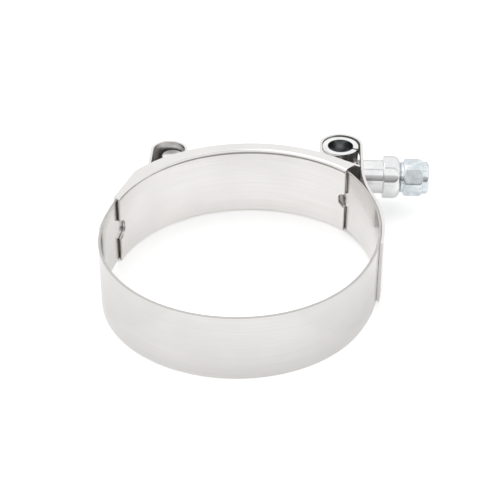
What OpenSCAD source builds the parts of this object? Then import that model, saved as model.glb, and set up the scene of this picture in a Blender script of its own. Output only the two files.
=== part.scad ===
// T bolt hose clamp, shown slack, as it is slipped over a hose before it is tightened.
// +Z runs along the hose, +X along the bolt towards the nut, and +Y from the hose to the bolt.
// The origin is the centre of the bore, half way up the band.

/* [Band] */
// Width of the band along the hose
band_w = 19; // [14:0.5:26]
// Thickness of the band
band_t = 0.7; // [0.5:0.05:1.2]
// Radius inside the round front of the band
bore_r = 36.1; // [26:0.1:60]
// Extra bend radius of the flatter side towards the nut
nut_side_flat = 13.7; // [6:0.1:20]
// Angle at which the flatter side towards the nut starts
nut_side_from = -29; // [-40:1:-15]
// Angle about its own centre at which the band ends under the nut side's loop
nut_side_end = 38; // [32:0.5:42]
// Extra bend radius of the flatter side towards the bolt's head
head_side_flat = 20.2; // [14:0.1:26]
// Angle turned by the flatter side towards the bolt's head
head_side_turn = 35; // [28:0.5:40]

/* [Bridge] */
// Thickness of the bridge
bridge_t = 0.8; // [0.5:0.05:1.2]
// How much more than the bore the bridge is bent to
bridge_more = 1.8; // [1:0.1:3]
// Angle at which the bridge lies on the head side of the band
bridge_seat = 162.4; // [158:0.2:166]
// Angle of the end of the bridge past the head side
bridge_end = 165; // [163:0.5:170]
// Reach of the two flanges beyond the wall of the bridge
flange_reach = 3.3; // [2:0.1:5]
// Inside radius of the flange bends
flange_bend = 0.2; // [0.15:0.05:0.8]
// Length over which the flanges' corners are cut back at the end on the head side
flange_cut_l = 15; // [8:0.5:18]
// Reach that is left of the flanges at that end
flange_end = 1; // [0.8:0.1:1.9]
// Radius of the half round notch in the bridge's end on the head side
head_notch_r = 2.9; // [1.5:0.1:4]
// Radius of the half round notch in the bridge's end on the nut side
nut_notch_r = 2.2; // [1.5:0.1:4]
// Clearance between the bridge and the face of the band
bridge_gap = 0.1; // [0.05:0.05:0.3]
// Clearance between the edges of the band and the flanges
flange_gap = 0.2; // [0.1:0.05:0.5]

/* [Loops] */
// Thickness of the loop straps
loop_t = 0.8; // [0.5:0.05:1.2]
// Gap at the spot welds between strap and band
weld_gap = 0.05; // [0.02:0.01:0.1]
// Length of strap that lies on the band
tail_l = 25; // [10:0.5:30]
// How far the edges of the head's strap stay inside the edges of the band
head_loop_inset = 1.6; // [0:0.1:2.5]
// Radius of the sweep from the band up to the trunnion's loop
trunnion_sweep_r = 44; // [30:1:60]
// Radius of the sweep from the band up to the loop of the bolt's head
head_sweep_r = 20; // [14:1:26]
// Slack behind the trunnion in its loop
trunnion_slack = 2; // [0.5:0.1:3]
// Slack behind the head of the bolt in its loop
head_slack = 0.3; // [0.1:0.1:1.5]
// Clearance round the bolt and the sleeve in the slots that they pass through
hole_gap = 0.4; // [0.3:0.05:0.8]

/* [T bolt] */
// Thread diameter of the bolt
bolt_d = 6; // [5:0.5:8]
// Clearance between the bolt and the back of the bridge
bolt_gap = 0.6; // [0.3:0.1:2]
// Diameter of the cross bar that is the bolt's head
head_d = 6.6; // [6.2:0.1:10]
// How far the ends of the head stay inside the edges of the band
head_inset = 3.8; // [2.6:0.1:5]
// How far the axis of the head stands inside the side of the bore
head_in = 14.7; // [11:0.1:18]
// Bevel on the ends of the head and of the shank
bolt_bevel = 0.6; // [0.3:0.05:1]
// Radial clearance of the head in its loop
head_gap = 1.3; // [0.4:0.05:1.6]
// Angle towards the hose at which the middle of the loop lies behind the head
head_loop_at = 45; // [0:1:60]
// How far the tip of the bolt stays inside the nut
tip_inset = 0.1; // [0:0.05:0.5]

/* [Trunnion] */
// Diameter of the rolled trunnion
trunnion_d = 10.5; // [9:0.1:13]
// Wall of the trunnion
trunnion_t = 1.6; // [1:0.1:1.9]
// How far the ends of the trunnion stand out beyond the edges of the band
trunnion_proud = 0.7; // [0.2:0.1:1]
// Radial clearance of the trunnion in its loop
trunnion_gap = 0.3; // [0.1:0.05:0.5]
// How far the axis of the trunnion stands inside the side of the bore
trunnion_in = 8; // [6:0.1:11]
// Width of the open seam of the trunnion
seam_w = 0.6; // [0.3:0.1:1]
// Angle of the seam round the trunnion
seam_at = -21; // [-60:1:0]
// Radial clearance of the trunnion and the sleeve on the bolt
bolt_hole_gap = 0.2; // [0.1:0.05:0.4]

/* [Sleeve] */
// Diameter of the sleeve that pushes on the trunnion
sleeve_d = 9.9; // [9:0.1:11]
// Length of the sleeve from the trunnion to its shoulder
sleeve_l = 7.4; // [5:0.1:12]
// Diameter of the shoulder that the nut bears on
shoulder_d = 12.6; // [11:0.1:15]
// Length of the shoulder
shoulder_l = 5.2; // [3:0.1:8]
// Radius of the shoulder's rounded edge
shoulder_round = 2.2; // [0.5:0.1:2.5]
// Clearance between the sleeve and the trunnion, and between sleeve and nut
stack_gap = 0.05; // [0.02:0.01:0.2]

/* [Lock nut] */
// Width of the nut across its flats
nut_af = 10; // [9:0.5:13]
// Height of the hexagon
nut_hex_l = 5.6; // [4:0.1:8]
// Height of the washer face under the hexagon
nut_face_l = 0.8; // [0.3:0.1:1.2]
// Diameter of the washer face
nut_face_d = 9; // [8:0.1:9.4]
// Height of the round collar that holds the insert
collar_l = 1.9; // [1.4:0.1:3]
// Diameter of the collar
collar_d = 9.6; // [8.8:0.1:9.8]
// Thickness of the collar's wall and of its turned-in lip
collar_t = 0.5; // [0.3:0.05:0.7]
// Diameter inside the collar's turned-in lip
lip_d = 7.2; // [6.8:0.1:7.6]
// Radius of the collar's rounded edge
collar_round = 0.8; // [0.3:0.05:0.9]
// Radial clearance of the nut on the bolt
thread_gap = 0.05; // [0.02:0.01:0.1]
// Slope of the bevel on the corners of the hexagon
nut_bevel = 30; // [20:1:40]
// How far inside the flats the bevel starts
nut_bevel_in = 0.1; // [0.1:0.02:0.16]
// Turn of the nut on the bolt
nut_turn = 26; // [0:1:59]

/* [Hidden] */
$fn = 96;
steel = "#c9c9c8";
zinc = "#c3c8cc";
nylon = "#e6e8ea";
clear = 1;
arc_step = 3;
bolt_r = bolt_d / 2;

// The two flatter sides of the band, each bent about its own centre
nut_side_r = bore_r + nut_side_flat;
nut_side_c = -nut_side_flat * [cos(nut_side_from), sin(nut_side_from)];
head_side_r = bore_r + head_side_flat;
head_side_c = [head_side_flat, 0];

// The bridge lies on the head side of the band and ends where it meets the nut side
bridge_r = bore_r + bridge_more;
bridge_back = bridge_r + bridge_t;
bridge_c = head_side_c + (head_side_r - bridge_back - bridge_gap) * [cos(bridge_seat), sin(bridge_seat)];
offset_c = bridge_c - nut_side_c;
meet = (pow(nut_side_r - bridge_gap, 2) - offset_c * offset_c - pow(bridge_back, 2)) / (2 * bridge_back);
bridge_start = atan2(offset_c[1], offset_c[0]) + acos(meet / norm(offset_c));
flange_z = band_w / 2 + flange_gap;

// The bolt runs behind the bridge
bolt_y = bridge_c[1] + bridge_back + bolt_gap + bolt_r;
head_x = head_in - bore_r;
head_loop_r = head_d / 2 + head_gap;
head_loop_c = [head_x, bolt_y] - (head_gap - stack_gap) * [cos(head_loop_at), sin(head_loop_at)];
trunnion_loop_x = bore_r - trunnion_in;
trunnion_loop_r = trunnion_d / 2 + trunnion_gap;
trunnion_x = trunnion_loop_x - trunnion_gap + stack_gap;
bolt_hole_r = bolt_r + bolt_hole_gap;

// Places along the bolt, from the trunnion out to the end of the nut
sleeve_x = trunnion_x + trunnion_d / 2 + stack_gap;
shoulder_x = sleeve_x + sleeve_l;
nut_x = shoulder_x + shoulder_l + stack_gap;
hex_x = nut_x + nut_face_l;
collar_x = hex_x + nut_hex_l;
nut_end_x = collar_x + collar_l;
insert_r = collar_d / 2 - collar_t;
thread_r = bolt_r + thread_gap;

// Round bar along X on the bolt's axis
module along_bolt(x, r, l) {
    translate([x, bolt_y, 0])
        rotate([0, 90, 0])
            cylinder(r = r, h = l);
}

// Round solid along X on the bolt's axis, from a half section of [radius, distance along] points
module turned_on_bolt(x) {
    translate([x, bolt_y, 0])
        rotate([0, 90, 0])
            rotate_extrude()
                children();
}

// Square slot along X on the bolt's axis, with half width r
module slot(x, r, l) {
    translate([x, bolt_y - r, -r])
        cube([l, 2 * r, 2 * r]);
}

// Points of an arc about c, from one angle to another, starting with the point numbered first
function arc(c, r, from, to, first = 0) =
    let (steps = ceil(abs(to - from) / arc_step))
    [
        for (i = [first:steps])
            let (at = from + (to - from) * i / steps)
                c + r * [cos(at), sin(at)]
    ];

function backwards(points) = [for (i = [len(points) - 1:-1:0]) points[i]];

// Loop on the +X side: a strap that leaves the band, goes round a pin and comes back to its own neck
module loop_strap(seat_c, seat_r, sweep_r, pin, loop_r, slack, strap_w) {
    tail_r = seat_r + weld_gap;
    tail_turn = tail_l / tail_r * 180 / PI;
    wall_x = pin[0] + loop_r;
    sweep_x = wall_x + loop_t + sweep_r;
    reach = tail_r + loop_t + sweep_r;
    leave = acos((sweep_x - seat_c[0]) / reach);
    neck = [wall_x, seat_c[1] + reach * sin(leave)];
    back_r = loop_r + loop_t;
    away = neck - pin;
    touch = atan2(away[1], away[0]) - acos(back_r / norm(away)) + 360;
    return_l = sqrt(away * away - back_r * back_r) - (weld_gap - loop_t * cos(touch)) / -sin(touch);
    // One face of the strap, at a depth from the face that bears on the band and the pin
    function face(depth) = concat(
        arc(seat_c, tail_r + depth, leave - tail_turn, leave),
        arc([sweep_x, neck[1]], sweep_r + loop_t - depth, 180 + leave, 180, 1),
        arc(pin + [0, slack], loop_r + depth, 0, 180),
        arc(pin, loop_r + depth, 180, touch),
        [pin + (loop_r + depth) * [cos(touch), sin(touch)] + return_l * [-sin(touch), cos(touch)]]
    );
    linear_extrude(strap_w, center = true)
        polygon(concat(face(loop_t), backwards(face(0))));
}

// Strip with a round front and two flatter sides; the bore is cut to its true radius
module band() {
    outer = concat(
        arc(head_side_c, head_side_r + band_t, 180 - head_side_turn, 180),
        arc([0, 0], bore_r + band_t, 180, 360 + nut_side_from, 1),
        arc(nut_side_c, nut_side_r + band_t, nut_side_from, nut_side_end, 1)
    );
    inner = concat(
        backwards(arc(head_side_c, head_side_r, 180, 180 - head_side_turn, 1)),
        arc([0, 0], bore_r - band_t / 2, 180, 360 + nut_side_from),
        arc(nut_side_c, nut_side_r, nut_side_from, nut_side_end, 1)
    );
    color(steel)
        difference() {
            linear_extrude(band_w, center = true)
                polygon(concat(outer, backwards(inner)));
            cylinder(r = bore_r, h = band_w + 2 * clear, center = true, $fn = 360);
        }
}

module head_loop() {
    color(steel)
        difference() {
            mirror([1, 0, 0])
                loop_strap([-head_side_c[0], head_side_c[1]], head_side_r + band_t, head_sweep_r,
                    [-head_loop_c[0], head_loop_c[1]], head_loop_r, head_slack, band_w - 2 * head_loop_inset);
            slot(head_x, bolt_r + hole_gap, head_loop_r + loop_t + clear);
        }
}

module trunnion_loop() {
    color(steel)
        difference() {
            loop_strap(nut_side_c, nut_side_r + band_t, trunnion_sweep_r,
                [trunnion_loop_x, bolt_y], trunnion_loop_r, trunnion_slack, band_w);
            slot(trunnion_loop_x - trunnion_loop_r - loop_t - clear, bolt_r + hole_gap, trunnion_loop_r);
            slot(trunnion_loop_x + clear, sleeve_d / 2 + hole_gap, trunnion_loop_r + loop_t);
        }
}

// Half section of the bridge's upper half: wall, bend and flange
module bridge_section() {
    bend_z = flange_z - flange_bend;
    bend_r = bridge_back + flange_bend;
    translate([bridge_r, 0])
        square([bridge_t, bend_z]);
    translate([bend_r, flange_z])
        square([flange_reach - flange_bend, bridge_t]);
    translate([bend_r, bend_z])
        intersection() {
            difference() {
                circle(r = flange_bend + bridge_t);
                circle(r = flange_bend);
            }
            translate([-flange_bend - bridge_t, 0])
                square(flange_bend + bridge_t);
        }
}

// Round hole through the bridge's wall at an angle, which leaves a half round notch in its end
module end_notch(at, r) {
    rotate([0, 0, at])
        translate([bridge_r - clear, 0, 0])
            rotate([0, 90, 0])
                cylinder(r = r, h = bridge_t + 2 * clear);
}

// Corner pieces cut off both flanges at an end of the bridge that lies on the X axis
module flange_corners() {
    corner_r = bridge_back + flange_end;
    full_r = bridge_back + flange_reach;
    slope = (sqrt(full_r * full_r - flange_cut_l * flange_cut_l) - corner_r) / flange_cut_l;
    far_y = flange_cut_l + clear;
    linear_extrude(2 * (flange_z + bridge_t + clear), center = true)
        polygon([
            [corner_r - slope * clear, clear], [full_r + clear, clear],
            [full_r + clear, -far_y], [corner_r + slope * far_y, -far_y]
        ]);
}

module bridge() {
    color(steel)
        translate([bridge_c[0], bridge_c[1], 0])
            difference() {
                rotate([0, 0, bridge_start])
                    rotate_extrude(angle = bridge_end - bridge_start)
                        union() {
                            bridge_section();
                            mirror([0, 1])
                                bridge_section();
                        }
                end_notch(bridge_start, nut_notch_r);
                end_notch(bridge_end, head_notch_r);
                rotate([0, 0, bridge_end])
                    flange_corners();
            }
}

module t_bolt() {
    head_l = band_w - 2 * head_inset;
    shank_l = nut_end_x - tip_inset - head_x;
    color(zinc)
        union() {
            translate([head_x, bolt_y, -head_l / 2])
                rotate_extrude()
                    polygon([
                        [0, 0], [head_d / 2 - bolt_bevel, 0], [head_d / 2, bolt_bevel],
                        [head_d / 2, head_l - bolt_bevel], [head_d / 2 - bolt_bevel, head_l], [0, head_l]
                    ]);
            turned_on_bolt(head_x)
                polygon([
                    [0, 0], [bolt_r, 0], [bolt_r, shank_l - bolt_bevel],
                    [bolt_r - bolt_bevel, shank_l], [0, shank_l]
                ]);
        }
}

module trunnion() {
    trunnion_l = band_w + 2 * trunnion_proud;
    color(zinc)
        difference() {
            translate([trunnion_x, bolt_y, -trunnion_l / 2])
                difference() {
                    cylinder(d = trunnion_d, h = trunnion_l);
                    translate([0, 0, -clear])
                        cylinder(r = trunnion_d / 2 - trunnion_t, h = trunnion_l + 2 * clear);
                    rotate([0, 0, seam_at])
                        translate([0, -seam_w / 2, -clear])
                            cube([trunnion_d, seam_w, trunnion_l + 2 * clear]);
                }
            along_bolt(trunnion_x - trunnion_d, bolt_hole_r, 2 * trunnion_d);
        }
}

module sleeve() {
    end_x = sleeve_l + shoulder_l;
    edge_r = shoulder_d / 2 - shoulder_round;
    color(zinc)
        turned_on_bolt(sleeve_x)
            union() {
                translate([bolt_hole_r, 0])
                    square([sleeve_d / 2 - bolt_hole_r, sleeve_l + clear]);
                translate([bolt_hole_r, sleeve_l])
                    square([shoulder_d / 2 - bolt_hole_r, shoulder_l - shoulder_round]);
                translate([bolt_hole_r, end_x - shoulder_round - clear])
                    square([edge_r - bolt_hole_r, shoulder_round + clear]);
                translate([edge_r, end_x - shoulder_round])
                    intersection() {
                        circle(r = shoulder_round);
                        square(shoulder_round);
                    }
            }
}

// Outline that bevels both ends of the hexagon's corners, as a half section
module nut_bevel_section() {
    end_r = nut_af / 2 - nut_bevel_in;
    side_r = nut_af / 2 / cos(30) + clear;
    drop = (side_r - end_r) * tan(nut_bevel);
    polygon([[0, 0], [end_r, 0], [side_r, drop], [side_r, nut_hex_l - drop], [end_r, nut_hex_l], [0, nut_hex_l]]);
}

// Half section of the round collar above the hexagon
module collar_section() {
    edge_r = collar_d / 2 - collar_round;
    square([edge_r, collar_l]);
    square([collar_d / 2, collar_l - collar_round]);
    translate([edge_r, collar_l - collar_round])
        intersection() {
            circle(r = collar_round);
            square(collar_round);
        }
}

module lock_nut() {
    color(zinc)
        difference() {
            union() {
                along_bolt(nut_x, nut_face_d / 2, nut_face_l);
                intersection() {
                    translate([hex_x, bolt_y, 0])
                        rotate([nut_turn, 0, 0])
                            rotate([0, 90, 0])
                                cylinder(r = nut_af / 2 / cos(30), h = nut_hex_l, $fn = 6);
                    turned_on_bolt(hex_x)
                        nut_bevel_section();
                }
                turned_on_bolt(collar_x)
                    collar_section();
            }
            along_bolt(nut_x - clear, thread_r, nut_end_x - nut_x + 2 * clear);
            along_bolt(collar_x, insert_r, collar_l - collar_t);
            along_bolt(collar_x, lip_d / 2, collar_l + clear);
        }
}

module nut_insert() {
    color(nylon)
        difference() {
            along_bolt(collar_x, insert_r, collar_l - collar_t);
            along_bolt(collar_x - clear, thread_r, collar_l + clear);
        }
}

band();
head_loop();
trunnion_loop();
bridge();
t_bolt();
trunnion();
sleeve();
lock_nut();
nut_insert();
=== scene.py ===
from math import acos, asin, atan2, ceil, cos, degrees, hypot, pi, radians, sin, sqrt, tan

import bmesh
import bpy
from mathutils import Matrix, Quaternion, Vector


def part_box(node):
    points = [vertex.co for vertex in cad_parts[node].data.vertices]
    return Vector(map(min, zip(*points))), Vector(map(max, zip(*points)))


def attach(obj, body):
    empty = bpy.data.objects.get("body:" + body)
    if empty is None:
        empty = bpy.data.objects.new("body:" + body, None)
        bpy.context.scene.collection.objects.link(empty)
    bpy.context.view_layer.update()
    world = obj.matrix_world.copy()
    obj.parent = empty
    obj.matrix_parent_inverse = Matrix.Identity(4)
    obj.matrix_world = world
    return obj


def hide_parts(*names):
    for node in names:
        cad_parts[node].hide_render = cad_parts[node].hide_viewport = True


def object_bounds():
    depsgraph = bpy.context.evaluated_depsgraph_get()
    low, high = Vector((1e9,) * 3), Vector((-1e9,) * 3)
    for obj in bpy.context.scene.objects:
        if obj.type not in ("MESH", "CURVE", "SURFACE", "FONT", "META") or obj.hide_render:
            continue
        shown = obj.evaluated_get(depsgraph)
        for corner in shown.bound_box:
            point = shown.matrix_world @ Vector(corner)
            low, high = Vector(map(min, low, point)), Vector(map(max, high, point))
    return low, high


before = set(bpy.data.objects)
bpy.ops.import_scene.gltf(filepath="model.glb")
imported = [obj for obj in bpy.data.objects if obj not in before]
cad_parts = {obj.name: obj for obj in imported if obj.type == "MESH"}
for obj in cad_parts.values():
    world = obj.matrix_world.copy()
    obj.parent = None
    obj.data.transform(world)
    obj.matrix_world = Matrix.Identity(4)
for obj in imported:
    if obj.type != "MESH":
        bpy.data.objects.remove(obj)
cadLow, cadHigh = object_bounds()
mm = 0.001  # the sizes below are in millimetres
print("frame loaded:", ", ".join(sorted(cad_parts)))


# mesh helpers

def startStrip(bm, points):  # a chain of vertices, which the bends and runs draw out into a sheet
    verts = [bm.verts.new(p) for p in points]
    return verts + [bm.edges.new(pair) for pair in zip(verts, verts[1:])]


def bendStrip(bm, geom, centre, turn, stepTurn):
    out = bmesh.ops.spin(
        bm, geom=geom, cent=(centre[0], centre[1], 0), axis=(0, 0, 1), dvec=(0, 0, 0),
        angle=radians(turn), steps=max(1, ceil(abs(turn) / stepTurn)), use_duplicate=False,
    )
    return out["geom_last"]


def runStrip(bm, geom, move):
    edges = [g for g in geom if isinstance(g, bmesh.types.BMEdge)]
    out = bmesh.ops.extrude_edge_only(bm, edges=edges)["geom"]
    verts = [g for g in out if isinstance(g, bmesh.types.BMVert)]
    bmesh.ops.translate(bm, vec=(move[0], move[1], 0), verts=verts)
    ends = set(verts)
    return verts + [g for g in out if isinstance(g, bmesh.types.BMEdge) and set(g.verts) <= ends]


def thicken(bm, thickness):
    bmesh.ops.remove_doubles(bm, verts=bm.verts[:], dist=0.001)
    bmesh.ops.solidify(bm, geom=bm.faces[:], thickness=thickness)
    bmesh.ops.recalc_face_normals(bm, faces=bm.faces[:])


def breakEdges(bm, width, sharper=50.0, segments=2, keep=()):
    # the small radius that shearing and tumbling leave
    edges = [
        e for e in bm.edges
        if e.is_manifold and e.calc_face_angle() > radians(sharper) and e not in keep
    ]
    bmesh.ops.bevel(
        bm, geom=edges, offset=width, offset_type="OFFSET", segments=segments, profile=0.5,
        affect="EDGES", material=-1, clamp_overlap=True,
    )


def takeIn(bm, part):  # joins a finished shell to the piece
    mesh = bpy.data.meshes.new("shell")
    part.to_mesh(mesh)
    part.free()
    bm.from_mesh(mesh)
    bpy.data.meshes.remove(mesh)


def addTurned(bm, profile, rounds, centre, axis, steps=72):
    # lathe work: a closed half section of (along, radius), with some of its corners rounded
    part = bmesh.new()
    if axis == "X":
        verts = [part.verts.new((a, centre[1] + r, centre[2])) for a, r in profile]
        spinAxis = (1, 0, 0)
    else:
        verts = [part.verts.new((centre[0] + r, centre[1], a)) for a, r in profile]
        spinAxis = (0, 0, 1)
    part.faces.new(verts)
    for number, radius in rounds.items():
        bmesh.ops.bevel(
            part, geom=[verts[number]], offset=radius, offset_type="OFFSET", segments=6, profile=0.5,
            affect="VERTICES", material=-1, clamp_overlap=True,
        )
    bmesh.ops.delete(part, geom=part.faces[:], context="FACES_ONLY")

    def onAxis(v):
        off = v.co - Vector(centre)
        return hypot(*(off.yz if axis == "X" else off.xy)) < 1e-6

    bmesh.ops.delete(part, geom=[e for e in part.edges if all(map(onAxis, e.verts))], context="EDGES")
    bmesh.ops.spin(
        part, geom=part.verts[:] + part.edges[:], cent=centre, axis=spinAxis, dvec=(0, 0, 0),
        angle=2 * pi, steps=steps, use_merge=True, use_duplicate=False,
    )
    bmesh.ops.remove_doubles(part, verts=part.verts[:], dist=0.0005)
    bmesh.ops.recalc_face_normals(part, faces=part.faces[:])
    takeIn(bm, part)


def makePiece(bm, name, body, material, node, flatter=32.0):
    bmesh.ops.scale(bm, vec=(mm, mm, mm), verts=bm.verts[:])
    mesh = bpy.data.meshes.new(name)
    bm.to_mesh(mesh)
    bm.free()
    mesh.polygons.foreach_set("use_smooth", [True] * len(mesh.polygons))
    mesh.set_sharp_from_angle(angle=radians(flatter))
    mesh.materials.append(material)
    piece = bpy.data.objects.new(name, mesh)
    bpy.context.scene.collection.objects.link(piece)
    shading = piece.modifiers.new("even shading", "WEIGHTED_NORMAL")
    shading.keep_sharp = True
    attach(piece, body)
    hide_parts(node)
    low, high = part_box(node)
    off = 0.0
    for i in range(3):
        places = [v.co[i] / mm for v in mesh.vertices]
        off = max(off, abs(min(places) - low[i] / mm), abs(max(places) - high[i] / mm))
    print(f"{name}: {len(mesh.polygons)} faces, {off:.2f} mm from the solid's box")
    return piece


def cutAway(piece, tool, flatter=32.0, slot=0):  # takes the tool's shape out of a finished piece
    bmesh.ops.scale(tool, vec=(mm, mm, mm), verts=tool.verts[:])
    for f in tool.faces:
        f.material_index = slot
    cutter = bpy.data.objects.new("cutter", bpy.data.meshes.new("cutter"))
    tool.to_mesh(cutter.data)
    tool.free()
    bpy.context.scene.collection.objects.link(cutter)
    cut = piece.modifiers.new("cut", "BOOLEAN")
    cut.object, cut.operation, cut.solver = cutter, "DIFFERENCE", "EXACT"
    shading = piece.modifiers["even shading"]
    shading.show_viewport = False  # it comes after the cut
    whole = piece.data
    shaped = piece.evaluated_get(bpy.context.evaluated_depsgraph_get())
    piece.data = bpy.data.meshes.new_from_object(shaped)
    piece.data.name = piece.name
    piece.data.set_sharp_from_angle(angle=radians(flatter))
    piece.modifiers.remove(cut)
    shading.show_viewport = True
    bpy.data.meshes.remove(whole)
    bpy.data.objects.remove(cutter)


# materials

def linear(code):  # sRGB hex to linear
    parts = [int(code[i:i + 2], 16) / 255 for i in (1, 3, 5)]
    return tuple(p / 12.92 if p <= 0.04045 else ((p + 0.055) / 1.055) ** 2.4 for p in parts) + (1.0,)


def addNode(tree, kind, inputs=None, links=None, **settings):
    node = tree.nodes.new(kind)
    for key, value in settings.items():
        setattr(node, key, value)
    for key, value in (inputs or {}).items():
        node.inputs[key].default_value = value
    for key, socket in (links or {}).items():
        tree.links.new(socket, node.inputs[key])
    return node


def setStops(ramp, stops):  # a ramp of greys
    for number, (place, value) in enumerate(stops):
        if number in (0, len(stops) - 1):
            stop = ramp.elements[0 if number == 0 else len(ramp.elements) - 1]
            stop.position = place
        else:
            stop = ramp.elements.new(place)
        stop.color = (value,) * 3 + (1,)


def newMaterial(name):
    material = bpy.data.materials.new(name)
    material.use_nodes = True
    material.node_tree.nodes.clear()
    return material, material.node_tree


stripLook = {
    "light": "#E8E6E4", "dark": "#E0DEDC",  # bright annealed stainless
    "bright": (0.13, 0.2), "satin": (0.3, 0.42),  # roughness; satin inside the loops and on the weld prints
    "lineAcross": 0.45, "lineAlong": 30.0,  # mm, rolling lines, drawn coarse so that they show
    "hazeSize": 14.0,  # mm, the cloudy patches of annealing
    "toneSpan": (0.08, 0.42), "roughSpan": (0.1, 0.4),  # of the two patterns multiplied
    "bump": 0.0015,  # mm
}


def stainlessStrip(finish):
    # cold rolled stainless: a clear but slightly hazy mirror with faint lines along the strip
    look, own = stripLook, stripLook[finish]
    material, tree = newMaterial(f"stainless strip {finish} annealed")
    place = addNode(tree, "ShaderNodeTexCoord")
    lineMap = addNode(
        tree, "ShaderNodeMapping",
        {"Scale": (1 / (look["lineAlong"] * mm),) * 2 + (1 / (look["lineAcross"] * mm),)},
        {"Vector": place.outputs["Object"]},
    )
    lines = addNode(
        tree, "ShaderNodeTexNoise", {"Scale": 1.0, "Detail": 3.0, "Roughness": 0.6},
        {"Vector": lineMap.outputs["Vector"]},
    )
    haze = addNode(
        tree, "ShaderNodeTexNoise", {"Scale": 1 / (look["hazeSize"] * mm), "Detail": 2.0},
        {"Vector": place.outputs["Object"]},
    )
    both = addNode(
        tree, "ShaderNodeMath", {}, {0: lines.outputs["Fac"], 1: haze.outputs["Fac"]},
        operation="MULTIPLY",
    )
    tone = addNode(tree, "ShaderNodeValToRGB", {}, {"Fac": both.outputs["Value"]})
    for stop, at, code in zip(tone.color_ramp.elements, look["toneSpan"], (look["dark"], look["light"])):
        stop.position, stop.color = at, linear(code)
    rough = addNode(
        tree, "ShaderNodeMapRange",
        {"From Min": look["roughSpan"][0], "From Max": look["roughSpan"][1], "To Min": own[1], "To Max": own[0]},
        {"Value": both.outputs["Value"]},
    )
    bump = addNode(
        tree, "ShaderNodeBump", {"Strength": 0.5, "Distance": look["bump"] * mm},
        {"Height": lines.outputs["Fac"]},
    )
    shader = addNode(
        tree, "ShaderNodeBsdfPrincipled", {"Metallic": 1.0},
        {
            "Base Color": tone.outputs["Color"], "Roughness": rough.outputs["Result"],
            "Normal": bump.outputs["Normal"],
        },
    )
    addNode(tree, "ShaderNodeOutputMaterial", {}, {"Surface": shader.outputs["BSDF"]})
    return material


# colours of the strip's cut edges, darkened with painted shade
shadedEdgeLook = {
    "shearAndShade": ("#66615B", "#8A857F"),  # ends cut off with a tear, and darkened as painted shade of the gap at the bridge's ends
    "slitAndShade": ("#B6B4B1", "#CECCC9"),  # long edges, cut cleaner, greyed as painted contact shade along the rims
    "roughness": 0.42, "across": 0.25, "along": 3.0,  # mm, the marks that the knife leaves
}


def shadedCutEdge(kind):
    # cut edge of the strip: duller than the rolled faces, and darker with painted shade, so it draws a thin line
    look = shadedEdgeLook
    material, tree = newMaterial(f"stainless strip {kind} edge")
    place = addNode(tree, "ShaderNodeTexCoord")
    marks = addNode(
        tree, "ShaderNodeMapping",
        {"Scale": (1 / (look["along"] * mm),) * 2 + (1 / (look["across"] * mm),)},
        {"Vector": place.outputs["Object"]},
    )
    torn = addNode(
        tree, "ShaderNodeTexNoise", {"Scale": 1.0, "Detail": 3.0}, {"Vector": marks.outputs["Vector"]},
    )
    tone = addNode(tree, "ShaderNodeValToRGB", {}, {"Fac": torn.outputs["Fac"]})
    for stop, code in zip(tone.color_ramp.elements, look[kind]):
        stop.color = linear(code)
    shader = addNode(
        tree, "ShaderNodeBsdfPrincipled", {"Metallic": 1.0, "Roughness": look["roughness"]},
        {"Base Color": tone.outputs["Color"]},
    )
    addNode(tree, "ShaderNodeOutputMaterial", {}, {"Surface": shader.outputs["BSDF"]})
    return material


zincLook = {  # clouds in mm; the nut's passivation is blue, and little plate gets inside the tube
    "clear": {"tones": ("#E2E3E4", "#F0F0F0"), "roughness": (0.1, 0.18), "cloud": 4.0},
    "blue": {"tones": ("#D2DBE1", "#EEF2F4"), "roughness": (0.1, 0.18), "cloud": 1.8},
    "thin": {"tones": ("#C0C1C2", "#D6D7D8"), "roughness": (0.17, 0.25), "cloud": 2.5},
    "toneSpan": (0.35, 0.65), "roughSpan": (0.3, 0.7),
    "grain": 0.5,  # mm, plating grain, drawn coarse so that it shows
    "bump": 0.0008,  # mm
}


def brightZinc(tint):
    # bright zinc plate on turned steel: a soft mirror, neutral or slightly blue, with fine plating grain
    look, own = zincLook, zincLook[tint]
    material, tree = newMaterial(f"zinc plate {tint} passivated")
    place = addNode(tree, "ShaderNodeTexCoord")
    grain = addNode(
        tree, "ShaderNodeTexNoise", {"Scale": 1 / (look["grain"] * mm), "Detail": 4.0},
        {"Vector": place.outputs["Object"]},
    )
    cloud = addNode(
        tree, "ShaderNodeTexNoise", {"Scale": 1 / (own["cloud"] * mm), "Detail": 2.0},
        {"Vector": place.outputs["Object"]},
    )
    tone = addNode(tree, "ShaderNodeValToRGB", {}, {"Fac": cloud.outputs["Fac"]})
    for stop, at, code in zip(tone.color_ramp.elements, look["toneSpan"], own["tones"]):
        stop.position, stop.color = at, linear(code)
    rough = addNode(
        tree, "ShaderNodeMapRange",
        {
            "From Min": look["roughSpan"][0], "From Max": look["roughSpan"][1],
            "To Min": own["roughness"][0], "To Max": own["roughness"][1],
        },
        {"Value": grain.outputs["Fac"]},
    )
    bump = addNode(
        tree, "ShaderNodeBump", {"Strength": 0.4, "Distance": look["bump"] * mm},
        {"Height": grain.outputs["Fac"]},
    )
    shader = addNode(
        tree, "ShaderNodeBsdfPrincipled", {"Metallic": 1.0},
        {
            "Base Color": tone.outputs["Color"], "Roughness": rough.outputs["Result"],
            "Normal": bump.outputs["Normal"],
        },
    )
    addNode(tree, "ShaderNodeOutputMaterial", {}, {"Surface": shader.outputs["BSDF"]})
    return material


nylonLook = {"tones": ("#DADDDE", "#EEF0F0"), "mottle": 1.2, "roughness": 0.42, "ior": 1.53}  # mottle in mm


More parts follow.
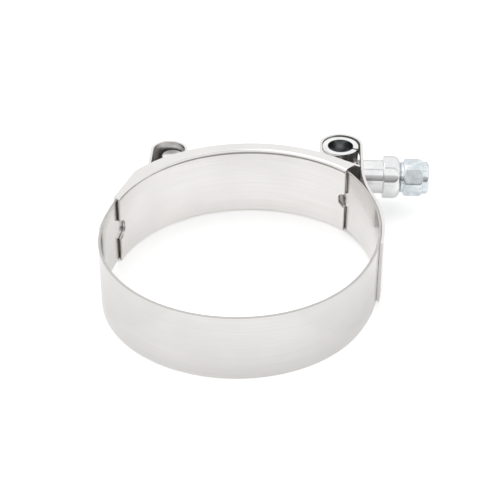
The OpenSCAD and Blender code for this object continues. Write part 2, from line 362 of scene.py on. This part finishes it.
def plainNylon():
    # natural moulded nylon: milky, with a soft waxy sheen
    look = nylonLook
    material, tree = newMaterial("nylon natural moulded")
    place = addNode(tree, "ShaderNodeTexCoord")
    mottle = addNode(
        tree, "ShaderNodeTexNoise", {"Scale": 1 / (look["mottle"] * mm), "Detail": 2.0},
        {"Vector": place.outputs["Object"]},
    )
    tone = addNode(tree, "ShaderNodeValToRGB", {}, {"Fac": mottle.outputs["Fac"]})
    for stop, code in zip(tone.color_ramp.elements, look["tones"]):
        stop.color = linear(code)
    shader = addNode(
        tree, "ShaderNodeBsdfPrincipled", {"Roughness": look["roughness"], "IOR": look["ior"]},
        {"Base Color": tone.outputs["Color"]},
    )
    addNode(tree, "ShaderNodeOutputMaterial", {}, {"Surface": shader.outputs["BSDF"]})
    return material


stainless, satin = stainlessStrip("bright"), stainlessStrip("satin")
# the two cut-edge materials are darkened with painted shade
shearAndShade, slitAndShade, nylon = shadedCutEdge("shearAndShade"), shadedCutEdge("slitAndShade"), plainNylon()
zinc, blueZinc, thinZinc = brightZinc("clear"), brightZinc("blue"), brightZinc("thin")
print("materials made")


# the band: a strip with a round front and two flatter sides

bandSizes = {
    "width": 19.0, "thick": 0.7, "boreR": 36.1, "edge": 0.1,
    "nutFlat": 13.7, "nutFrom": -29.0, "nutEnd": 38.0,
    "headFlat": 20.2, "headTurn": 35.0, "stepTurn": 1.5,
}
halfW = bandSizes["width"] / 2
nutSideR = bandSizes["boreR"] + bandSizes["nutFlat"]
nutFrom = radians(bandSizes["nutFrom"])
nutSideC = Vector((cos(nutFrom), sin(nutFrom))) * -bandSizes["nutFlat"]
headSideR = bandSizes["boreR"] + bandSizes["headFlat"]
headSideC = Vector((bandSizes["headFlat"], 0))


def buildBand():
    size = bandSizes
    bm = bmesh.new()
    start = radians(180 - size["headTurn"])
    x, y = headSideC.x + headSideR * cos(start), headSideC.y + headSideR * sin(start)
    strip = startStrip(bm, [(x, y, -halfW), (x, y, halfW)])
    strip = bendStrip(bm, strip, headSideC, size["headTurn"], size["stepTurn"])
    strip = bendStrip(bm, strip, (0, 0), 180 + size["nutFrom"], size["stepTurn"])
    bendStrip(bm, strip, nutSideC, size["nutEnd"] - size["nutFrom"], size["stepTurn"])
    thicken(bm, size["thick"])
    breakEdges(bm, size["edge"])
    for f in bm.faces:  # the long cut edges and their rounds, greyed with painted contact shade
        f.material_index = 1 if abs(f.normal.z) > 0.3 else 0
    piece = makePiece(bm, "band_strip", "clamp", stainless, "band")
    # the greyed rims carry painted contact shade where the band meets the floor
    piece.data.materials.append(slitAndShade)
    return piece


# the bolt: a cross bar for a head, a plain shank and an M6 thread

boltSizes = {
    "y": 47.5915, "r": 3.0, "rootR": 2.4, "coreR": 2.3, "pitch": 1.0, "turnSteps": 28,
    "threadFrom": 6.0, "threadTo": 53.4, "bevelX": 53.45, "bevelR": 2.88, "tip": 54.0, "tipR": 2.35,
    "headX": -21.4, "headR": 3.3, "headHalf": 5.7, "headBevel": 0.6,
}


def buildBolt():
    size = boltSizes
    bm = bmesh.new()
    half, headR, r, rootR, coreR, pitch = (size[k] for k in ("headHalf", "headR", "r", "rootR", "coreR", "pitch"))
    addTurned(  # cross bar of the T
        bm, [(-half, 0), (-half, headR), (half, headR), (half, 0)],
        {1: size["headBevel"], 2: size["headBevel"]}, (size["headX"], size["y"], 0), "Z",
    )
    runOut, runIn = size["threadFrom"] + pitch, size["threadTo"] - pitch
    shank = [(size["headX"], 0), (size["headX"], r), (size["threadFrom"], r), (runOut, coreR), (runOut, 0)]
    tipX, bevel = size["tip"], (size["bevelX"], size["bevelR"])
    tip = [(runIn, 0), (runIn, coreR), bevel, (tipX, size["tipR"]), (tipX, 0)]
    for profile in (shank, tip):  # the plain shank tapers into the thread, and the tip is bevelled
        addTurned(bm, profile, {}, (0, size["y"], 0), "X")
    part = bmesh.new()
    first = size["threadFrom"] - 2 * pitch
    tooth = [(0, rootR), (pitch / 4, rootR), (pitch * 9 / 16, r), (pitch * 11 / 16, r), (pitch, rootR)]
    chain = startStrip(part, [(first + along, size["y"] + out, 0) for along, out in tooth])
    turns = ceil((size["threadTo"] - first) / pitch) + 2
    bmesh.ops.spin(
        part, geom=chain, cent=(0, size["y"], 0), axis=(1, 0, 0), dvec=(pitch / size["turnSteps"], 0, 0),
        angle=2 * pi * turns, steps=size["turnSteps"] * turns, use_duplicate=False,
    )
    bmesh.ops.remove_doubles(part, verts=part.verts[:], dist=0.001)
    for x, way in ((size["threadFrom"], -1), (size["threadTo"], 1)):
        whole = part.verts[:] + part.edges[:] + part.faces[:]
        bmesh.ops.bisect_plane(
            part, geom=whole, dist=0.0001, plane_co=(x, 0, 0), plane_no=(way, 0, 0), clear_outer=True,
        )
    bmesh.ops.holes_fill(part, edges=[e for e in part.edges if e.is_boundary], sides=0)
    bmesh.ops.recalc_face_normals(part, faces=part.faces[:])
    takeIn(bm, part)
    return makePiece(bm, "t_bolt_threaded", "clamp", zinc, "t_bolt")


# the two loops: straps that leave the band, go round a pin and come back to their own neck

strapSizes = {
    "thick": 0.8, "weldGap": 0.05, "tail": 25.0, "holeGap": 0.4, "edge": 0.12,
    "tailStep": 1.5, "sweepStep": 2.0, "loopStep": 6.0,  # degrees
    "weld": {  # prints of the electrode, each the narrow end of a cone; along in shares of the tail
        "r": 1.5, "wideR": 2.5, "long": 0.4, "deep": 0.08, "flatter": 15.0,
        "along": (0.45, 0.8), "up": (-4.0, 4.0),
    },
    "head": {
        "seatC": (-headSideC.x, headSideC.y), "seatR": headSideR, "sweepR": 20.0, "half": 7.9,
        "pin": (22.2839, 46.7076), "loopR": 4.6, "slack": 0.3, "outerHole": 0.0,
    },
    "nut": {
        "seatC": tuple(nutSideC), "seatR": nutSideR, "sweepR": 44.0, "half": 9.5,
        "pin": (28.1, 47.5915), "loopR": 5.55, "slack": 2.0, "outerHole": 4.95,
    },
}


def buildStrap(which, name, node, flip):
    size, own = strapSizes, strapSizes[which]
    boltY, thick, loopR, slack = boltSizes["y"], size["thick"], own["loopR"], own["slack"]
    seat, pin, half = Vector(own["seatC"]), Vector(own["pin"]), own["half"]
    tailR = own["seatR"] + bandSizes["thick"] + size["weldGap"]
    wallX = pin.x + loopR
    sweepX = wallX + thick + own["sweepR"]
    reach = tailR + thick + own["sweepR"]
    leave = degrees(acos((sweepX - seat.x) / reach))
    neckY = seat.y + reach * sin(radians(leave))
    tailTurn = degrees(size["tail"] / tailR)
    backR = loopR + thick
    away = Vector((wallX, neckY)) - pin
    touch = degrees(atan2(away.y, away.x)) - degrees(acos(backR / away.length)) + 360
    back = radians(touch)
    returnL = sqrt(away.length ** 2 - backR ** 2) - (size["weldGap"] - thick * cos(back)) / -sin(back)
    innerHole = boltSizes["r"] + size["holeGap"]
    outerHole = own["outerHole"] + size["holeGap"] if own["outerHole"] else 0.0
    above, below = boltY + innerHole - pin.y, pin.y - boltY + innerHole
    low = degrees(asin(min(1.0, below / loopR)))  # where the bolt's slot ends
    high = degrees(asin((above - slack) / loopR))
    rise = degrees(asin((outerHole - slack) / loopR)) if outerHole else 0.0  # where the sleeve's slot ends
    along = Vector((-sin(back), cos(back)))

    bm = bmesh.new()
    heights = {-half, half, -innerHole, innerHole} | ({-outerHole, outerHole} if outerHole else set())
    first = radians(leave - tailTurn)
    x, y = seat.x + tailR * cos(first), seat.y + tailR * sin(first)
    strip = startStrip(bm, [(x, y, z) for z in sorted(heights)])
    cuts = []

    def goes(kind, *how, hole=0.0):
        nonlocal strip
        before = set(bm.faces)
        strip = (bendStrip if kind == "bend" else runStrip)(bm, strip, *how)
        if hole:
            cuts.extend(f for f in bm.faces if f not in before and abs(f.calc_center_median().z) < hole)

    step, over = size["loopStep"], (pin.x, pin.y + slack)
    goes("bend", seat, tailTurn, size["tailStep"])
    goes("bend", (sweepX, neckY), -leave, size["sweepStep"])
    if outerHole:
        goes("run", (0, boltY - outerHole - neckY))
        goes("run", (0, outerHole + slack), hole=outerHole)
        goes("bend", over, rise, step, hole=outerHole)
    else:
        goes("run", (0, pin.y + slack - neckY))
    goes("bend", over, 180 - rise - high, step)
    goes("bend", over, high, step, hole=innerHole)
    goes("run", (0, -slack), hole=innerHole)
    goes("bend", pin, low, step, hole=innerHole)
    goes("bend", pin, touch - 180 - low, step)
    goes("run", along * returnL)
    bmesh.ops.delete(bm, geom=cuts, context="FACES")
    thicken(bm, thick)
    tailEnd = Vector((x, y))  # lies tight on the band, so its inner edge stays sharp
    tight = {e for e in bm.edges if all((v.co.xy - tailEnd).length < 0.01 for v in e.verts)}
    breakEdges(bm, size["edge"], keep=tight)
    for f in bm.faces:  # inside of the loop, the neck and the sweep, and all of the return
        at = f.calc_center_median().xy
        inwards = pin - at if at.y > neckY else at - Vector((sweepX, neckY))
        returns = neckY < at.y < pin.y - loopR / 2 and at.x < wallX - thick / 2
        f.material_index = 1 if returns or inwards.normalized().dot(f.normal.xy) > 0.4 else 0
    if flip:
        bmesh.ops.scale(bm, vec=(-1, 1, 1), verts=bm.verts[:])
    bmesh.ops.recalc_face_normals(bm, faces=bm.faces[:])
    piece = makePiece(bm, name, "clamp", stainless, node)
    piece.data.materials.append(satin)
    weld, marks, side = size["weld"], bmesh.new(), -1 if flip else 1
    out = tailR + thick - weld["deep"] + weld["long"] / 2
    for share in weld["along"]:
        a = radians(leave - tailTurn * share)
        way = Vector((side * cos(a), sin(a), 0))
        aim = way.to_track_quat("Z", "Y").to_matrix().to_4x4()
        for z in weld["up"]:
            place = Vector((side * seat.x, seat.y, z)) + way * out
            bmesh.ops.create_cone(
                marks, cap_ends=True, segments=32, radius1=weld["r"], radius2=weld["wideR"],
                depth=weld["long"], matrix=Matrix.Translation(place) @ aim,
            )
    cutAway(piece, marks, weld["flatter"], 1)
    return piece


# the bridge: a flanged plate that lies loose inside the band's gap

bridgeSizes = {
    "centre": (3.5191, 5.2915), "r": 37.9, "thick": 0.8, "to": 165.0, "gap": 0.1, "edge": 0.12,
    "flangeZ": 9.7, "flangeReach": 3.3, "bend": 0.6, "rows": [4.6, 7.0], "stepTurn": 1.5,
    "cutLong": 15.0, "cutTo": 1.0, "cutRoom": 4.0,  # the flanges' corners at the head end
    "headNotch": 2.9, "nutNotch": 2.2, "squeeze": 5.0,  # the rows beside a notch move in over the squeeze
}


def buildBridge():
    size = bridgeSizes
    cx, cy = size["centre"]
    middle = Vector((cx, cy, 0))
    offset = middle.xy - nutSideC
    backR = size["r"] + size["thick"]
    meet = ((nutSideR - size["gap"]) ** 2 - offset.length_squared - backR ** 2) / (2 * backR)
    start = degrees(atan2(offset.y, offset.x) + acos(meet / offset.length))
    bendZ, bendR, outR = size["flangeZ"] - size["bend"], backR + size["bend"], size["bend"] + size["thick"]
    corner = [(bendR - outR * cos(radians(a)), bendZ + outR * sin(radians(a))) for a in range(0, 91, 15)]
    notches = {
        round(size[which] * sin(radians(a)), 4) for which in ("headNotch", "nutNotch") for a in range(0, 91, 10)
    }
    rim = (backR + size["flangeReach"], size["flangeZ"] + size["thick"])
    upper = [(size["r"], z) for z in sorted(notches) + size["rows"]] + corner + [rim]
    section = [(r, -z) for r, z in upper[:0:-1]] + upper
    bm = bmesh.new()
    a = radians(start)
    strip = startStrip(bm, [(cx + r * cos(a), cy + r * sin(a), z) for r, z in section])
    bendStrip(bm, strip, size["centre"], size["to"] - start, size["stepTurn"])
    for v in bm.verts:  # the half round notch in each end of the wall
        if hypot(v.co.x - cx, v.co.y - cy) > size["r"] + 0.01:
            continue
        at = degrees(atan2(v.co.y - cy, v.co.x - cx)) % 360
        for end, way, notch in ((start, 1, size["nutNotch"]), (size["to"], -1, size["headNotch"])):
            far, deep = radians(abs(at - end)) * size["r"], notch ** 2 - v.co.z ** 2
            if deep > 0 and far < size["squeeze"]:
                turn = way * (1 - far / size["squeeze"]) * sqrt(deep) / size["r"]
                bmesh.ops.rotate(bm, cent=middle, matrix=Matrix.Rotation(turn, 3, "Z"), verts=[v])
    thicken(bm, size["thick"])

    def isEnd(f):  # only the cut ends face along the strip
        at = f.calc_center_median() - middle
        sideways = abs(f.normal.z) < 0.95 and abs(f.normal.xy.dot(at.xy.normalized())) < 0.3
        return sideways and abs(at.z) < size["flangeZ"]

    def isAcross(e):
        near, far = ((v.co - middle).xy.length for v in e.verts)
        return abs(far - near) > size["thick"] / 2

    across = {e for f in bm.faces if isEnd(f) for e in f.edges if isAcross(e)}
    bmesh.ops.subdivide_edges(bm, edges=list(across), cuts=1, use_grid_fill=True)
    end = Matrix.Rotation(radians(size["to"]), 3, "Z")
    headEnd = (middle + end @ Vector((backR, 0, 0))).xy
    for f in bm.faces:  # the shear leaves the inner half burnished and tears the outer half, which faces the band and also carries painted shade of the gap
        at = f.calc_center_median()
        punched = abs(at.z) < size["headNotch"] and (at.xy - headEnd).length < 2 * size["headNotch"]
        if isEnd(f) and not punched and (at - middle).xy.length > size["r"] + size["thick"] / 2:
            f.material_index = 1
    cutR, fullR = backR + size["cutTo"], backR + size["flangeReach"]
    slope = (sqrt(fullR ** 2 - size["cutLong"] ** 2) - cutR) / size["cutLong"]
    cutFrom = -size["cutLong"] - size["cutRoom"]
    tips = [f for f in bm.faces if (end.inverted() @ (f.calc_center_median() - middle)).y > cutFrom]
    geom = tips + list({e for f in tips for e in f.edges}) + list({v for f in tips for v in f.verts})
    bmesh.ops.bisect_plane(
        bm, geom=geom, dist=0.0001, plane_co=middle + end @ Vector((cutR, 0, 0)),
        plane_no=end @ Vector((1, slope, 0)), clear_outer=True,
    )
    bmesh.ops.holes_fill(bm, edges=[e for e in bm.edges if e.is_boundary], sides=0)
    bmesh.ops.recalc_face_normals(bm, faces=bm.faces[:])
    breakEdges(bm, size["edge"], 60.0)
    piece = makePiece(bm, "flanged_bridge", "clamp", stainless, "bridge")
    # the dark end faces carry painted shade of the gap between the bridge and the band
    piece.data.materials.append(shearAndShade)
    return piece


# the rolled trunnion, with the seam where the plate's edges meet

trunnionSizes = {
    "x": 27.85, "r": 5.25, "wall": 1.6, "half": 10.2, "hole": 3.2, "edge": 0.2,
    "seam": 0.6, "seamAt": -21.0,  # mm and degrees
}


def buildTrunnion():
    size = trunnionSizes
    boltY, outR, half = boltSizes["y"], size["r"], size["half"]
    bm = bmesh.new()
    gap = degrees(size["seam"] / outR)
    a = radians(size["seamAt"] + gap / 2)
    inR = outR - size["wall"]
    corners = ((inR, -half), (outR, -half), (outR, half), (inR, half))
    wall = [bm.verts.new((size["x"] + r * cos(a), boltY + r * sin(a), z)) for r, z in corners]
    face = bm.faces.new(wall)
    bmesh.ops.spin(
        bm, geom=[face] + wall + face.edges[:], cent=(size["x"], boltY, 0), axis=(0, 0, 1), dvec=(0, 0, 0),
        angle=radians(360 - gap), steps=72, use_duplicate=False,
    )
    bmesh.ops.remove_doubles(bm, verts=bm.verts[:], dist=0.001)
    bmesh.ops.recalc_face_normals(bm, faces=bm.faces[:])
    breakEdges(bm, size["edge"], 60.0)
    axis = Vector((size["x"], boltY))
    for f in bm.faces:  # the inner wall
        out = (f.calc_center_median().xy - axis).normalized()
        f.material_index = 1 if f.normal.xy.dot(out) < -0.8 else 0
    piece = makePiece(bm, "rolled_trunnion", "clamp", zinc, "trunnion")
    piece.data.materials.append(thinZinc)
    drill = bmesh.new()
    bmesh.ops.create_cone(
        drill, cap_ends=True, segments=48, radius1=size["hole"], radius2=size["hole"], depth=4 * outR,
        matrix=Matrix.Translation((size["x"], boltY, 0)) @ Matrix.Rotation(pi / 2, 4, "Y"),
    )
    cutAway(piece, drill)
    return piece


# sleeve, lock nut and insert

sleeveSizes = {
    "x": 33.15, "r": 4.95, "long": 7.4, "bore": 3.2, "edge": 0.25,
    "shoulderR": 6.3, "shoulder": 5.2, "shoulderEdge": 0.4, "round": 2.2,
}


def buildSleeve():
    size = sleeveSizes
    x, r, wideR, bore = size["x"], size["r"], size["shoulderR"], size["bore"]
    step = x + size["long"]
    end = step + size["shoulder"]
    bm = bmesh.new()
    addTurned(
        bm, [(x, bore), (x, r), (step, r), (step, wideR), (end, wideR), (end, bore)],
        {1: size["edge"], 3: size["shoulderEdge"], 4: size["round"]}, (0, boltSizes["y"], 0), "X", 96,
    )
    return makePiece(bm, "shouldered_sleeve", "sleeve", zinc, "sleeve")


nutSizes = {
    "x": 45.8, "faceR": 4.5, "face": 0.8, "flatR": 5.0, "hex": 5.6, "turn": 26.0, "slope": 30.0, "bevelIn": 0.1,
    "collarR": 4.8, "collar": 1.9, "lip": 0.5, "lipR": 3.6, "wall": 0.5, "round": 1.0, "bore": 3.05, "lead": 0.4,
    "cornerR": 1.5, "soft": 0.8, "softSteps": 6,  # cold forming leaves the hexagon's corners and ends round
    "steps": 192, "chamfer": 0.15, "edge": 0.2,
}


def buildNut():
    size = nutSizes
    x0, bore, faceR, lipR, chamfer = (size[k] for k in ("x", "bore", "faceR", "lipR", "chamfer"))
    hexX = x0 + size["face"]
    collarX = hexX + size["hex"]
    endX = collarX + size["collar"]
    endR = size["flatR"] - size["bevelIn"]
    lipX, wellR = endX - size["lip"], size["collarR"] - size["wall"]
    roundX, roundR, bend = endX - size["round"], size["collarR"] - size["round"], size["round"]
    shares = [k / size["softSteps"] for k in range(size["softSteps"] + 1)]
    rings = [(x0, bore + size["lead"]), (x0, faceR - chamfer), (x0 + chamfer, faceR), (hexX, faceR), (hexX, endR)]
    rings += [(hexX, None, 1, u) for u in shares] + [(collarX, None, -1, u) for u in shares[::-1]]
    rings += [(collarX, endR), (collarX, size["collarR"])]
    rings += [(roundX + bend * sin(radians(a)), roundR + bend * cos(radians(a))) for a in range(0, 91, 15)]
    rings += [(endX, lipR + chamfer), (endX - chamfer, lipR), (lipX, lipR), (lipX, wellR)]
    rings += [(collarX, wellR), (collarX, bore), (x0 + size["lead"], bore)]
    tilt, corner = radians(size["slope"]), radians(30)
    cornerD = (size["flatR"] - size["cornerR"]) / cos(corner)
    roundFrom = atan2(cornerD * sin(corner), size["flatR"])

    def hexPoint(a, u):  # from the bevel's cone (u 0) round its edge to the flat (u 1)
        off = abs((a - radians(size["turn"]) + corner) % (2 * corner) - corner)
        r = size["flatR"] / cos(off)
        if off > roundFrom:
            across = cornerD * sin(corner - off)
            r = cornerD * cos(corner - off) + sqrt(size["cornerR"] ** 2 - across ** 2)
        soft = min(size["soft"], 0.9 * (r - endR) / cos(tilt))
        along = (r - endR) * tan(tilt) + soft * (u ** 2 - (1 - u) ** 2 * sin(tilt))
        return along, r - soft * (1 - u) ** 2 * cos(tilt)

    def setRing(verts, angles, x, r, way=0, u=0):  # with no radius, the ring follows the hexagon
        for v, a in zip(verts, angles):
            along, out = hexPoint(a, u) if r is None else (0, r)
            v.co = (x + way * along, boltSizes["y"] + out * cos(a), out * sin(a))

    bm = bmesh.new()
    ring = bmesh.ops.create_circle(bm, cap_ends=False, segments=size["steps"], radius=1.0)["verts"]
    setRing(ring, [atan2(v.co.y, v.co.x) for v in ring], *rings[0])
    start = edges = bm.edges[:]
    for how in rings[1:]:
        out = bmesh.ops.extrude_edge_only(bm, edges=edges)["geom"]
        fresh = [g for g in out if isinstance(g, bmesh.types.BMVert)]
        setRing(fresh, [atan2(v.co.z, v.co.y - boltSizes["y"]) for v in fresh], *how)
        ends = set(fresh)
        edges = [g for g in out if isinstance(g, bmesh.types.BMEdge) and set(g.verts) <= ends]
    bmesh.ops.bridge_loops(bm, edges=edges + start)
    bmesh.ops.remove_doubles(bm, verts=bm.verts[:], dist=0.0005)
    bmesh.ops.recalc_face_normals(bm, faces=bm.faces[:])
    breakEdges(bm, size["edge"], 40.0, 3)
    return makePiece(bm, "lock_nut_hex", "nut", blueZinc, "lock_nut", 22.0)


insertSizes = {"x": 52.2, "long": 1.4, "r": 4.3, "bore": 3.05, "edge": 0.12}


def buildInsert():
    size = insertSizes
    x, end = size["x"], size["x"] + size["long"]
    bm = bmesh.new()
    addTurned(
        bm, [(x, size["bore"]), (x, size["r"]), (end, size["r"]), (end, size["bore"])],
        {1: size["edge"], 2: size["edge"], 3: size["edge"]}, (0, boltSizes["y"], 0), "X",
    )
    return makePiece(bm, "nylon_insert", "nut", nylon, "nut_insert")


buildBand()
buildStrap("head", "head_loop_strap", "head_loop", True)
buildStrap("nut", "trunnion_loop_strap", "trunnion_loop", False)
buildBridge()
buildBolt()
buildTrunnion()
buildSleeve()
buildNut()
buildInsert()
print("pieces built")


# floor, light and camera

stageLook = {
    "floorHalf": 1.5, "drop": 0.05, "floor": "#F6F6F6",  # half in metres, drop below the part in mm
    "lift": 0.3,  # whitens the paper for the camera alone
    "shine": [(-60, 0.1), (5, 0.1), (32, 0.32), (43, 0.32), (48, 0.1), (60, 0.1)],  # what the metal sees, by Y in mm
    "shineSides": (36.0, 38.0), "sideShare": 0.55,  # mm, where it fades beside the clamp, and to what share
}


def buildStage():
    look = stageLook
    bm = bmesh.new()
    down = Matrix.Translation((0, 0, cadLow.z - look["drop"] * mm))
    bmesh.ops.create_grid(bm, x_segments=1, y_segments=1, size=look["floorHalf"], matrix=down)
    mesh = bpy.data.meshes.new("floor")
    bm.to_mesh(mesh)
    bm.free()
    floor = bpy.data.objects.new("floor", mesh)
    bpy.context.scene.collection.objects.link(floor)
    material, tree = newMaterial("paper sweep white")  # matt white paper
    rays = addNode(tree, "ShaderNodeLightPath")
    place = addNode(tree, "ShaderNodeTexCoord")
    split = addNode(tree, "ShaderNodeSeparateXYZ", {}, {"Vector": place.outputs["Object"]})
    first, last = look["shine"][0][0], look["shine"][-1][0]
    along = addNode(
        tree, "ShaderNodeMapRange", {"From Min": first * mm, "From Max": last * mm},
        {"Value": split.outputs["Y"]},
    )
    shine = addNode(tree, "ShaderNodeValToRGB", {}, {"Fac": along.outputs["Result"]})
    setStops(shine.color_ramp, [((y - first) / (last - first), value) for y, value in look["shine"]])
    aside = addNode(tree, "ShaderNodeMath", {}, {0: split.outputs["X"]}, operation="ABSOLUTE")
    fadeFrom, fadeTo = (x * mm for x in look["shineSides"])
    sides = addNode(
        tree, "ShaderNodeMapRange",
        {"From Min": fadeFrom, "From Max": fadeTo, "To Min": 1.0, "To Max": look["sideShare"]},
        {"Value": aside.outputs["Value"]},
    )
    near = addNode(
        tree, "ShaderNodeMath", {}, {0: shine.outputs["Color"], 1: sides.outputs["Result"]},
        operation="MULTIPLY",
    )
    toMetal = addNode(
        tree, "ShaderNodeMath", {}, {0: near.outputs["Value"], 1: rays.outputs["Is Glossy Ray"]},
        operation="MULTIPLY",
    )
    lifted = addNode(
        tree, "ShaderNodeMath", {1: look["lift"]},
        {0: rays.outputs["Is Camera Ray"], 2: toMetal.outputs["Value"]}, operation="MULTIPLY_ADD",
    )
    matt = addNode(tree, "ShaderNodeBsdfDiffuse", {"Color": linear(look["floor"])})
    lift = addNode(
        tree, "ShaderNodeEmission", {"Color": (1, 1, 1, 1)}, {"Strength": lifted.outputs["Value"]},
    )
    both = addNode(tree, "ShaderNodeAddShader", {}, {0: matt.outputs["BSDF"], 1: lift.outputs["Emission"]})
    addNode(tree, "ShaderNodeOutputMaterial", {}, {"Surface": both.outputs["Shader"]})
    mesh.materials.append(material)


worldLook = {  # brightness of the tent by the angle from the front (0) over the top (90) to the back (180)
    "stops": [
        (-90, 1.0), (-3, 1.0), (0, 0.2), (8, 0.28), (18, 0.42), (30, 0.54), (36, 0.62), (43, 1.08),  # dark front
        (76, 1.08), (78, 0.5), (81, 0.5), (83, 1.08),  # seam overhead
        (152, 1.08), (168, 0.82), (180, 0.74),
    ],
}


def buildWorld():
    world = bpy.data.worlds.new("white tent")
    bpy.context.scene.world = world
    world.use_nodes = True
    tree = world.node_tree
    tree.nodes.clear()
    rays = addNode(tree, "ShaderNodeLightPath")
    where = addNode(tree, "ShaderNodeTexCoord")
    split = addNode(tree, "ShaderNodeSeparateXYZ", {}, {"Vector": where.outputs["Generated"]})
    front = addNode(tree, "ShaderNodeMath", {1: -1.0}, {0: split.outputs["Y"]}, operation="MULTIPLY")
    over = addNode(
        tree, "ShaderNodeMath", {}, {0: split.outputs["Z"], 1: front.outputs["Value"]}, operation="ARCTAN2",
    )
    first, last = worldLook["stops"][0][0], worldLook["stops"][-1][0]
    share = addNode(
        tree, "ShaderNodeMapRange", {"From Min": radians(first), "From Max": radians(last)},
        {"Value": over.outputs["Value"]},
    )
    ramp = addNode(tree, "ShaderNodeValToRGB", {}, {"Fac": share.outputs["Result"]})
    setStops(ramp.color_ramp, [((angle - first) / (last - first), value) for angle, value in worldLook["stops"]])
    seen = addNode(  # the camera sees plain white
        tree, "ShaderNodeMix", {7: (1, 1, 1, 1)},
        {"Factor": rays.outputs["Is Camera Ray"], 6: ramp.outputs["Color"]}, data_type="RGBA",
    )
    tent = addNode(tree, "ShaderNodeBackground", {"Strength": 1.0}, {"Color": seen.outputs[2]})
    addNode(tree, "ShaderNodeOutputWorld", {}, {"Surface": tent.outputs["Background"]})


lampLook = {"at": (-250, 100, 700), "size": 600, "power": 0.6}  # mm and watts


def buildLamp():
    look = lampLook
    light = bpy.data.lights.new("overhead", "AREA")
    light.shape, light.size, light.energy = "DISK", look["size"] * mm, look["power"]
    lamp = bpy.data.objects.new("overhead", light)
    lamp.location = Vector(look["at"]) * mm
    lamp.rotation_euler = (-lamp.location).to_track_quat("-Z", "Y").to_euler()
    bpy.context.scene.collection.objects.link(lamp)


cameraView = {
    "at": (16.2, -318.3, 221.2), "along": (-0.0331, 0.8266, -0.5618), "roll": 0.25,  # mm and degrees
    "lens": 103.75, "sensor": 36.0, "clip": 10.0,
}


def buildCamera():
    view = cameraView
    data = bpy.data.cameras.new("camera")
    data.lens, data.sensor_width, data.clip_start = view["lens"], view["sensor"], view["clip"] * mm
    camera = bpy.data.objects.new("camera", data)
    camera.location = Vector(view["at"]) * mm
    look = Vector(view["along"]).to_track_quat("-Z", "Y")
    camera.rotation_mode = "QUATERNION"
    camera.rotation_quaternion = look @ Quaternion((0, 0, 1), radians(view["roll"]))
    bpy.context.scene.collection.objects.link(camera)
    bpy.context.scene.camera = camera


buildStage()
buildWorld()
buildLamp()
buildCamera()
bpy.context.scene.view_settings.view_transform = "Standard"
print("stage, light and camera set")
